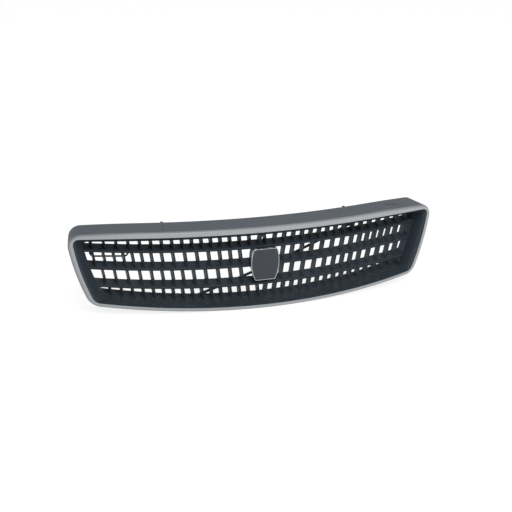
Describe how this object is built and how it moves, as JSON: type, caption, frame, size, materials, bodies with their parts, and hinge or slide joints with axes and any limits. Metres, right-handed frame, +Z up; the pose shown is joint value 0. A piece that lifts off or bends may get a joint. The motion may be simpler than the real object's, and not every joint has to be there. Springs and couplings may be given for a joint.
{
  "type": "front grille",
  "caption": "Curved front grille for a saloon car: painted surround with a bright lip, louvred and ribbed dark insert, and a bare barrel-shaped badge on a central boss.",
  "frame": {"origin": "under the middle of the part, level with the lowest point of its bottom wall and halfway through its depth", "axes": "+X along the width to the left-hand side of the car seen from its seats, -Y out of the front face, +Z up"},
  "size_m": [0.8084, 0.1385, 0.18],
  "materials": {
    "painted_wall": "satin",
    "silver_lip": "satin",
    "dark_plastic": "matte",
    "badge_chrome": "polished",
    "badge_field": "glossy",
    "black_plastic": "matte",
    "black_wire": "satin",
    "plated_steel": "satin",
    "spring_steel": "satin"
  },
  "bodies": {
    "root": {"surround_shell": "painted_wall", "bezel_trim": "silver_lip", "insert_frame": "dark_plastic", "louvre_upper": "dark_plastic", "louvre_middle": "dark_plastic", "louvre_lower": "dark_plastic", "rib_row_1": "dark_plastic", "rib_row_2": "dark_plastic", "rib_row_3": "dark_plastic", "rib_row_4": "dark_plastic", "badge_carrier": "dark_plastic", "badge_bezel": "badge_chrome", "badge_plate": "badge_field", "badge_push_nuts": "plated_steel", "diagonal_brace": "black_plastic", "rear_loop": "black_wire", "side_brackets": "plated_steel", "bracket_screws": "plated_steel", "insert_screws": "plated_steel", "brace_screws": "plated_steel", "top_sleeves": "plated_steel", "lower_clips": "spring_steel"}
  },
  "joints": []
}
